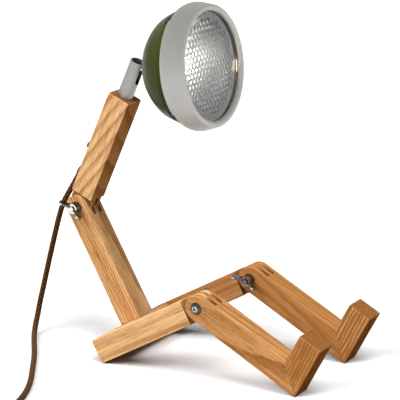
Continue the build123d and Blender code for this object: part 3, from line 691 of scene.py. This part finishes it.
SHIFT_FROM = 120.0          # every turn moves in or out by a diameter in this sector
SHIFT_TO = 160.0
TAIL = 0.024                # straight cord from the coil to the neck of the plug
PLUG_HEIGHT = 0.0136
PLUG_NECK = 0.014


def eased(value):
    """0 to 1, starting and ending gently."""
    value = min(max(value, 0.0), 1.0)
    return value * value * (3 - 2 * value)


def coil_points(settings):
    """Turns wound inward on the floor, then outward on top of them."""
    across = settings.turns_across
    total = 2 * across - 1 + (LEAVES - JOINS) / 360
    swell = 1 / math.cos(math.radians(STEP / 2))
    points = []
    turned_by = STEP / 2
    while turned_by < total * 360:
        angle = JOINS + turned_by
        moves = sum(eased((angle - 360 * k - SHIFT_FROM) / (SHIFT_TO - SHIFT_FROM))
                    for k in range(1, 2 * across))
        inward = min(moves, across - 1) - max(moves - across, 0)
        rise = min(max(moves - (across - 1), 0), 1)
        radius = (settings.turn - settings.diameter * inward) * swell
        way = math.radians(angle)
        height = settings.diameter * (0.5 + rise)
        points.append(COIL_CENTRE + Vector((radius * math.cos(way), radius * math.sin(way), height)))
        turned_by += STEP
    return points


def tail_axes():
    """X down the tail from where it leaves the coil, at the height of the plug's middle."""
    settings = bpy.context.scene.lamp_cord
    way = math.radians(LEAVES)
    start = COIL_CENTRE + settings.turn * Vector((math.cos(way), math.sin(way), 0))
    start.z = PLUG_HEIGHT / 2
    return Matrix.Translation(start) @ Matrix.Rotation(way + QUARTER, 4, "Z")


def cord_line(settings):
    """Points along the cord's smooth line, read from its spline."""
    tail = tail_axes()
    straight_from = 0.010
    in_neck = 0.004
    points = [RELIEF_END] + [Vector(p) for p in ROUTE] + coil_points(settings)
    points += [tail @ Vector((ahead, 0, 0)) for ahead in (straight_from, TAIL, TAIL + in_neck)]
    curve = bpy.data.curves.new("cord_line", "CURVE")
    curve.dimensions = "3D"
    curve.resolution_u = 16
    spline = curve.splines.new("NURBS")
    spline.points.add(len(points) - 1)
    for knot, point in zip(spline.points, points):
        knot.co = (*point, 1.0)
    spline.order_u = 3
    spline.use_endpoint_u = True
    holder = bpy.data.objects.new("cord_line", curve)
    bpy.context.scene.collection.objects.link(holder)
    mesh = bpy.data.meshes.new_from_object(holder)
    line = [v.co.copy() for v in mesh.vertices]
    bpy.data.objects.remove(holder)
    bpy.data.curves.remove(curve)
    bpy.data.meshes.remove(mesh)
    return line


def spaced(line, gap):
    """The line's points thinned so that neighbours are about a gap apart."""
    kept = [line[0]]
    for point in line[1:-1]:
        if (point - kept[-1]).length >= gap:
            kept.append(point)
    kept.append(line[-1])
    return kept


def line_length(line):
    """From the line's first point to its last, along it."""
    return sum((b - a).length for a, b in zip(line, line[1:]))


def tube_along(name, line, radii, material, body=None, sides=20):
    """A tube with no twist along the line, mapped round (0 to 1) and along (metres)."""
    verts = []
    faces = []
    side = Vector((0, 1, 0))
    distances = [0.0]
    for i, point in enumerate(line):
        ahead = line[min(i + 1, len(line) - 1)]
        behind = line[max(i - 1, 0)]
        along = (ahead - behind).normalized()
        side = (side - along * side.dot(along)).normalized()
        other = along.cross(side)
        if i:
            distances.append(distances[-1] + (point - line[i - 1]).length)
        for k in range(sides):
            angle = 2 * math.pi * k / sides
            verts.append(point + radii[i] * (math.cos(angle) * side + math.sin(angle) * other))
    for i in range(len(line) - 1):
        faces += ring_faces(i * sides, (i + 1) * sides, sides)
    faces.append(tuple(range(sides)))
    faces.append(tuple(range(len(verts) - sides, len(verts))))
    tube = piece(name, verts, faces, material, body)
    chart = tube.data.uv_layers.new(name="along")
    for face in tube.data.polygons:
        columns = [tube.data.loops[loop].vertex_index % sides for loop in face.loop_indices]
        wraps = max(columns) - min(columns) > sides / 2
        for loop, column in zip(face.loop_indices, columns):
            row = tube.data.loops[loop].vertex_index // sides
            turn = column + sides if wraps and column < sides / 2 else column
            chart.data[loop].uv = (turn / sides, distances[row])
    return tube


# ---- The stage
AIM = Vector((-0.03346, 0.0472, 0.12725))       # the point that the camera looks at
KEY_FROM = Vector((-0.33, -0.71, 0.62))
TOP_FROM = Vector((0.38, -0.22, 0.90))
WHITE = (1.0, 1.0, 1.0)
BLACK = (0.0, 0.0, 0.0)


# ---- Operators
class LAMP_OT_studio(bpy.types.Operator):
    """Floor, lamps, world and camera"""
    bl_idname = "lamp.studio"
    bl_label = "Studio"

    def execute(self, context):
        settings = context.scene.lamp_studio
        context.scene.view_settings.view_transform = "Standard"
        self.camera(context, settings)
        self.floor()
        self.world(context)
        self.broad_light(context, "key_light", KEY_FROM, settings.key)
        self.broad_light(context, "top_light", TOP_FROM, settings.top)
        return {"FINISHED"}

    def camera(self, context, settings):
        """Looks at the aim from the distance and angles of the settings."""
        level = math.cos(settings.elevation)
        back = Vector((math.sin(settings.azimuth) * level, -math.cos(settings.azimuth) * level,
                       math.sin(settings.elevation)))
        data = bpy.data.cameras.new("camera")
        data.lens = settings.focal_mm
        data.sensor_width = 36
        camera = bpy.data.objects.new("camera", data)
        camera.location = AIM + back * settings.distance
        turn = (-back).to_track_quat("-Z", "Y").to_matrix() @ Matrix.Rotation(settings.roll, 3, "Z")
        camera.rotation_euler = turn.to_euler()
        context.scene.collection.objects.link(camera)
        context.scene.camera = camera

    def floor(self):
        """A wide plain floor with the lamp's soft shadow: white to the eye and in polished metal.
        Through the lens only the part straight ahead of it is bright."""
        shader = Shader("studio_floor", roughness=0.9, specular_ior_level=0.0)
        warm_grey = (0.22, 0.16, 0.09)
        dark_grey = (0.08, 0.08, 0.08)
        plain = shader.mix(shader.ray("Camera", "Glossy"), warm_grey, WHITE)
        place = shader.node("TexCoord", output="Object")
        ahead = shader.dot(place, Vector((1.0, 0.9, 0.0))).smooth(0.0, 0.55)
        inside = shader.mix(ahead, dark_grey, WHITE)
        shader.set(base_color=shader.mix(shader.ray("Transmission"), plain, inside))
        reach = 8.0
        steps = 8
        count = steps + 1
        verts = [Vector((-reach + 2 * reach * i / steps, -reach + 2 * reach * j / steps, 0))
                 for j in range(count) for i in range(count)]
        faces = []
        for j in range(steps):
            faces += ring_faces(j * count, (j + 1) * count, count, around=False)
        piece("studio_floor", verts, faces, shader.material, None)

    def world(self, context):
        """White behind the lamp, and a soft room round it: dim overhead and in front of the lens."""
        world = bpy.data.worlds.new("studio")
        world.use_nodes = True
        room = NodeTree(world.node_tree)
        way = room.node("TexCoord", output="Generated")
        soft = room.dot(way, Vector((-0.45, -0.60, 0.66))).smooth(-0.3, 0.95) * 0.30 + 0.06
        overhead = room.parts(way)[2].smooth(0.30, 0.90)
        ahead = room.dot(way, Vector((0.62, -0.75, 0.24))).smooth(0.60, 0.97)
        glossy = room.mix(1.0 - overhead * 0.15, BLACK, WHITE)
        inside = room.mix((1.0 - overhead * 0.95) * (1.0 - ahead * 0.90), BLACK, WHITE)
        light = room.mix(room.ray("Glossy"), room.mix(soft, BLACK, WHITE), glossy)
        light = room.mix(room.ray("Transmission"), light, inside)
        back = room.tree.nodes["Background"]
        room.feed(back.inputs["Color"], room.mix(room.ray("Camera"), light, WHITE))
        context.scene.world = world

    def broad_light(self, context, name, source, level):
        """Light from far off, from a wide patch of sky. At level 1 it lights white fully."""
        data = bpy.data.lights.new(name, "SUN")
        data.energy = math.pi * level
        data.angle = context.scene.lamp_studio.spread
        lamp = bpy.data.objects.new(name, data)
        lamp.rotation_euler = source.to_track_quat("Z", "Y").to_euler()
        lamp.visible_glossy = False
        lamp.visible_transmission = False
        context.scene.collection.objects.link(lamp)


class LAMP_OT_cord(bpy.types.Operator):
    """Braided flex from the strain relief to the coil and the plug"""
    bl_idname = "lamp.cord"
    bl_label = "Cord and plug"

    def execute(self, context):
        settings = context.scene.lamp_cord
        line = spaced(cord_line(settings), gap=0.0016)
        radii = [settings.diameter / 2] * len(line)
        cord = tube_along("flex", line, radii, braided_textile(settings))
        black = moulded("black_plastic", (0.022, 0.021, 0.020), 0.42)
        plug = self.plug(black)
        brass = plated_steel("plug_brass", context.scene.lamp_metal, tail_axes())
        dress(brass, "plug_pins")
        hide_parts("cord", "cord_tail", "cord_coil")
        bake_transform(cord)
        line_length(line)
        return {"FINISHED"}

    def plug(self, material):
        """A flat plug with a ribbed grip and a tapered neck, lying on its broad side.
        A station is its place along the plug, its width, its height and how square it is."""
        whole = 0.035
        width = 0.025
        chamfer = 0.001
        stations = [(-PLUG_NECK, 0.0062, 0.0062, 2.0)]
        for k in range(5):                  # grooves of the neck, each wider than the one before
            size = 0.0064 + 0.0005 * (k + 1)
            start = 0.0012 + 0.0024 * k - PLUG_NECK
            stations += self.groove(start, (size, size), (0.001, 0.001), 0.0003, 0.0008, 2.0)
        stations += [(0.0, 0.0112, 0.0098, 2.2), (0.0012, 0.0165, 0.0116, 2.8), (0.004, 0.0208, 0.0130, 3.6)]
        for k in range(4):                  # grooves of the grip
            start = 0.0075 + 0.0038 * k
            stations += self.groove(start, (0.0232, PLUG_HEIGHT), (0.0012, 0.001), 0.0006, 0.0014, 4.5)
        stations += [(0.0248, width, PLUG_HEIGHT, 5.0), (whole - chamfer, width, PLUG_HEIGHT, 5.0),
                     (whole, width - 2 * chamfer, PLUG_HEIGHT - 2 * chamfer, 5.0)]
        rings = [self.section(*station) for station in stations]
        axes = tail_axes() @ Matrix.Translation((TAIL + PLUG_NECK, 0, 0))
        plug = lofted("plug_grip", rings, axes, material, "seat")
        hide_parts("plug_body")
        return plug

    def groove(self, start, size, depth, slope, floor, power):
        """Stations of a groove round the plug: down its slope, along its floor and up again."""
        low = (size[0] - depth[0], size[1] - depth[1])
        steps = ((0, size), (slope, low), (slope + floor, low), (2 * slope + floor, size))
        return [(start + ahead, *across, power) for ahead, across in steps]

    def section(self, x, width, height, power):
        """A rounded outline across X: power 2 is an ellipse, more is squarer."""
        points = []
        count = 48
        for i in range(count):
            angle = 2 * math.pi * i / count
            c = math.cos(angle)
            s = math.sin(angle)
            size = (abs(c) ** power + abs(s) ** power) ** (-1 / power)
            points.append(Vector((x, width / 2 * c * size, height / 2 * s * size)))
        return points


class LAMP_OT_bars(bpy.types.Operator):
    """Ash on the nine bars and the dowels"""
    bl_idname = "lamp.bars"
    bl_label = "Wooden bars"

    def execute(self, context):
        settings = context.scene.lamp_ash
        for node, bar in sawn_bars().items():
            dress(ash("ash_" + node, bar, settings), node)
        dowel = Bar(crossbar_axes, pith=(12, 20), lean=(0.0, 0.0), ring_mm=2.4, seed=11.0)
        dress(ash("ash_dowels", dowel, settings), "seat_dowels", "right_mitre_dowels", "left_mitre_dowels")
        return {"FINISHED"}


class LAMP_OT_fasteners(bpy.types.Operator):
    """Plated bolts, washers, wing nuts and the post's screw"""
    bl_idname = "lamp.fasteners"
    bl_label = "Fasteners"

    def execute(self, context):
        settings = context.scene.lamp_metal
        thread_mm = HALF_BAR_MM + 7.4        # just inside the end of the wing nut
        for joint in ("torso", "right_knee", "left_knee"):
            at = hinge["torso_hinge" if joint == "torso" else joint]
            axes = Matrix.Translation(at)
            dress(plated_steel("steel_" + joint + "_bolt", settings, axes, thread_mm), joint + "_bolt")
            steel = plated_steel("steel_" + joint + "_nut", settings, axes)
            dress(steel, joint + "_washer", joint + "_wing_nut")
        dress(plated_steel("steel_screw", settings, lower_axes), "post_screw")
        return {"FINISHED"}


class LAMP_OT_switch(bpy.types.Operator):
    """Push switch, strain relief and inner lead in the upper post"""
    bl_idname = "lamp.switch"
    bl_label = "Switch and strain relief"

    def execute(self, context):
        metal = context.scene.lamp_metal
        dress(moulded("switch_plastic", (0.020, 0.019, 0.018), 0.36), "switch_body", "switch_button")
        dress(plated_steel("steel_collar", metal, torso_axes), "switch_collar")
        dress(moulded("lead_sleeve", (0.42, 0.40, 0.37), 0.5), "inner_lead")
        self.relief()
        return {"FINISHED"}

    def relief(self):
        """A rubber sleeve that leaves the post, then bends down it, with ribs that get thinner."""
        radius_inside = 0.0036
        radius = 0.0037
        taper = 0.0008
        steps = 64
        line = [relief_point(-RELIEF_INSIDE), relief_point(-RELIEF_INSIDE / 2)]
        radii = [radius_inside, radius_inside]
        for i in range(steps + 1):
            share_out = i / steps
            line.append(relief_point(RELIEF_OUTSIDE * share_out))
            radii.append(radius - taper * share_out - self.groove(RELIEF_OUTSIDE * share_out))
        rubber = moulded("black_rubber", (0.018, 0.017, 0.016), 0.55)
        relief = tube_along("relief_sleeve", line, radii, rubber, "torso", sides=48)
        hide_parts("cord_strain_relief")

    def groove(self, along):
        """Depth of the grooves between the ribs, this far out of the post."""
        pitch = 0.0019
        first = 0.0015
        last = 0.0100
        depth = 0.00055
        place = along / pitch % 1
        if first < along < last and place > 0.5:
            return depth * math.sin((place - 0.5) * 2 * math.pi)
        return 0.0


class LAMP_OT_neck(bpy.types.Operator):
    """Neck tube, tilt pin, bracket and its nut"""
    bl_idname = "lamp.neck"
    bl_label = "Neck and tilt joint"

    def execute(self, context):
        settings = context.scene.lamp_metal
        tube = satin_nickel("tube_nickel", settings, torso_axes, brush=(0.25, 5.0, 5.0), dim=0.4)
        dress(tube, "neck_tube", "tilt_pin")
        dress(plated_steel("steel_tilt", settings, head_axes), "tilt_bracket", "stud_nut")
        return {"FINISHED"}


class LAMP_OT_headlamp(bpy.types.Operator):
    """Enamelled bowl, nickel bezel, clips and gasket"""
    bl_idname = "lamp.headlamp"
    bl_label = "Headlamp"

    def execute(self, context):
        settings = context.scene.lamp_metal
        dress(olive_enamel(settings), "headlamp_shell")
        dress(satin_nickel("satin_nickel", settings, head_axes, brush=(6.0, 0.35, 0.35)), "bezel_ring")
        dress(dark_spring_steel(), "bezel_clips")
        dress(moulded("gasket_rubber", (0.30, 0.29, 0.27), 0.6), "lens_gasket")
        return {"FINISHED"}


class LAMP_OT_light(bpy.types.Operator):
    """Pressed lens, reflector and light source"""
    bl_idname = "lamp.light"
    bl_label = "Lens and light source"

    def execute(self, context):
        settings = context.scene.lamp_lens
        self.lens(settings)
        self.reflector(settings)
        dress(cast_aluminium(), "heat_sink")
        dress(white_board(), "led_board")
        dress(amber_emitter(), "led_emitter")
        return {"FINISHED"}

    def lens(self, settings):
        """Closed glass: a smooth crowned front, and a back pressed with round bumps."""
        segments = 560
        back_radii = self.ring_radii(settings, 90)
        front_radii = self.ring_radii(settings, 24)
        verts = []
        faces = []
        for front, radii in ((False, back_radii), (True, front_radii)):
            first = len(verts)
            for r in radii:
                for i in range(segments):
                    angle = 2 * math.pi * i / segments
                    y = r * math.cos(angle)
                    z = r * math.sin(angle)
                    x = self.front_at(r, settings) if front else self.back_at(y, z, settings)
                    verts.append(head_axes @ Vector((x, y, z)))
            for k in range(len(radii) - 1):
                faces += ring_faces(first + k * segments, first + (k + 1) * segments, segments)
            centre = len(verts)
            x = self.front_at(0, settings) if front else self.back_at(0, 0, settings)
            verts.append(head_axes @ Vector((x, 0, 0)))
            last = centre - segments
            faces += [(last + i, last + (i + 1) % segments, centre) for i in range(segments)]
        front_first = len(back_radii) * segments + 1
        faces += ring_faces(0, front_first, segments)
        lens = piece("pressed_lens", verts, faces, pressed_glass(), "head", smooth_angle=1.2)
        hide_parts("lens")

    def ring_radii(self, settings, count):
        """Radii of the glass's rings of points: the flat rim, then this many over the middle."""
        edge = 0.0004
        crease = 0.0003
        rim = [settings.radius, settings.radius - edge, settings.crown_radius + crease]
        return rim + [settings.crown_radius * (1 - k / count) for k in range(count)]

    def front_at(self, r, settings):
        """Height of the front: flat at the rim, crowned inside it."""
        if r >= settings.crown_radius:
            return settings.front
        return settings.front + settings.crown * (1 - (r / settings.crown_radius) ** 2)

    def back_at(self, y, z, settings):
        """Height of the back: flat, with round bumps in rows inside the field."""
        back = settings.front - settings.thickness
        pitch = settings.bump_pitch
        row_gap = pitch * math.sqrt(3) / 2
        row = round(z / row_gap)
        best = pitch
        for near in (row - 1, row, row + 1):
            offset = pitch / 2 if near % 2 else 0.0
            column = round((y - offset) / pitch)
            cy = column * pitch + offset
            cz = near * row_gap
            if math.hypot(cy, cz) < settings.bump_field:
                best = min(best, math.hypot(y - cy, z - cz))
        bump_r = pitch * 0.48
        fullness = 0.8
        return back + settings.bump_height * max(1 - (best / bump_r) ** 2, 0) ** fullness

    def reflector(self, settings):
        """A spun bowl, its lip against the glass."""
        base_r = 0.013
        rim_r = settings.radius - 0.003
        depth = 0.032
        wall = 0.0008
        steps = 40
        lip = settings.front - settings.thickness
        rear = lip - wall
        inner = []
        for i in range(steps + 1):
            r = base_r + (rim_r - base_r) * i / steps
            along = (r ** 2 - base_r ** 2) / (rim_r ** 2 - base_r ** 2)
            inner.append((rear - depth * (1 - along), r))
        outer = [(x, r + wall) for x, r in reversed(inner)]
        outline = inner + [(lip, rim_r), (lip, settings.radius), (rear, settings.radius)] + outer
        bowl = turned("reflector_bowl", outline, head_axes, bright_aluminium(), "head", segments=256)
        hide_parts("reflector")


class LAMP_PT_panel(bpy.types.Panel):
    """Lists the lamp's pieces"""
    bl_idname = "LAMP_PT_panel"
    bl_label = "Figure lamp"
    bl_space_type = "VIEW_3D"
    bl_region_type = "UI"
    bl_category = "Figure lamp"

    def draw(self, context):
        for operator in OPERATORS:
            self.layout.operator(operator.bl_idname)


SETTINGS = {
    "lamp_ash": AshSettings,
    "lamp_metal": MetalSettings,
    "lamp_lens": LensSettings,
    "lamp_cord": CordSettings,
    "lamp_studio": StudioSettings,
}
OPERATORS = (LAMP_OT_studio, LAMP_OT_cord, LAMP_OT_bars, LAMP_OT_fasteners, LAMP_OT_switch,
             LAMP_OT_neck, LAMP_OT_headlamp, LAMP_OT_light)


def register():
    """Adds the settings, operators and panel to Blender."""
    for group in (*SETTINGS.values(), *OPERATORS, LAMP_PT_panel):
        bpy.utils.register_class(group)
    for name, group in SETTINGS.items():
        setattr(bpy.types.Scene, name, PointerProperty(type=group))


def unregister():
    """Takes them out again."""
    for name in SETTINGS:
        delattr(bpy.types.Scene, name)
    for group in (LAMP_PT_panel, *reversed(OPERATORS), *reversed(SETTINGS.values())):
        bpy.utils.unregister_class(group)


def main():
    """Makes every piece."""
    register()
    bpy.ops.lamp.studio()
    bpy.ops.lamp.cord()
    bpy.ops.lamp.bars()
    bpy.ops.lamp.fasteners()
    bpy.ops.lamp.switch()
    bpy.ops.lamp.neck()
    bpy.ops.lamp.headlamp()
    bpy.ops.lamp.light()


if __name__ == "__main__":
    main()
